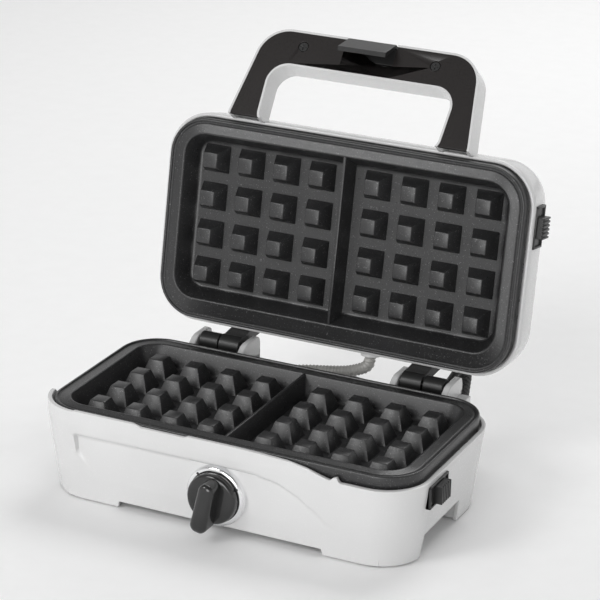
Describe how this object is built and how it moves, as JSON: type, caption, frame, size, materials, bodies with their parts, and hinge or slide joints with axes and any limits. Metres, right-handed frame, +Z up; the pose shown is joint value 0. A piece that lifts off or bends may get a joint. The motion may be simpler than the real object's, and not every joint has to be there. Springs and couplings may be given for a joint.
{
  "type": "waffle maker",
  "caption": "White electric waffle maker for two square waffles, standing open, with dark studded plates, a loop handle, a front dial and a coiled mains cord.",
  "frame": {"origin": "middle of the resting box of everything but the mains cord, on the table", "axes": "+Z up, -Y towards the dial and the user, +X towards the release buttons"},
  "size_m": [0.2676, 0.2595, 0.2625],
  "materials": {
    "white": "gloss",
    "black": "satin",
    "insert": "satin",
    "gloss_black": "gloss",
    "nonstick": "satin",
    "steel": "satin",
    "bright": "polished",
    "grey": "satin",
    "rubber": "satin",
    "brass": "satin"
  },
  "bodies": {
    "base": {"base_housing": "white", "bottom_cover": "white", "foot_pads": "rubber", "cover_screws": "steel", "hinge_bracket_left": "black", "hinge_bracket_right": "black", "hinge_pins": "steel", "lower_tray": "steel", "lower_heater": "steel", "lower_plate": "nonstick", "base_button_frame": "black", "base_button_spring": "steel", "dial_ring": "bright", "thermostat": "grey", "terminal_block": "white", "sleeve_gland_base": "black", "sleeve": "grey", "strain_relief": "rubber", "mains_cord": "rubber", "cord_coil": "rubber", "cord_tie": "steel", "cord_tail": "rubber", "plug_body": "rubber", "plug_blades": "brass"},
    "lid": {"lid_housing": "white", "lid_arm_left": "black", "lid_arm_right": "black", "arm_screws": "steel", "upper_tray": "steel", "upper_heater": "steel", "upper_plate": "nonstick", "lid_button_frame": "black", "lid_button_spring": "steel", "sleeve_gland_lid": "white", "handle_shell": "white", "handle_insert": "insert", "handle_screws": "steel", "latch_pin": "steel", "latch_spring": "steel"},
    "dial": {"dial": "gloss_black", "dial_shaft": "steel"},
    "base_release": {"base_button": "black"},
    "lid_release": {"lid_button": "black"},
    "latch": {"latch_lever": "insert"}
  },
  "joints": [
    {"name": "lid_hinge", "type": "hinge", "parent": "base", "child": "lid", "pos_m": [-0.00275, 0.04405, 0.059], "axis": [1, 0, 0], "range_deg": [0, 100], "deforming": ["sleeve"]},
    {"name": "dial_turn", "type": "hinge", "parent": "base", "child": "dial", "pos_m": [-0.00275, -0.10945, 0.0265], "axis": [0, 1, 0], "range_deg": [-50, 50]},
    {"name": "base_release_slide", "type": "slide", "parent": "base", "child": "base_release", "axis": [0, -1, 0], "range_m": [0, 0.005], "stiffness_N_per_m": 600, "springref_m": -0.002, "deforming": ["base_button_spring"]},
    {"name": "lid_release_slide", "type": "slide", "parent": "lid", "child": "lid_release", "axis": [0, 0.1736, 0.9848], "range_m": [0, 0.005], "stiffness_N_per_m": 600, "springref_m": -0.002, "deforming": ["lid_button_spring"]},
    {"name": "latch_swing", "type": "hinge", "parent": "lid", "child": "latch", "pos_m": [-0.00275, 0.11207, 0.2483], "axis": [-1, 0, 0], "range_deg": [0, 15], "stiffness_Nm_per_rad": 0.6, "springref_deg": -8.02}
  ]
}
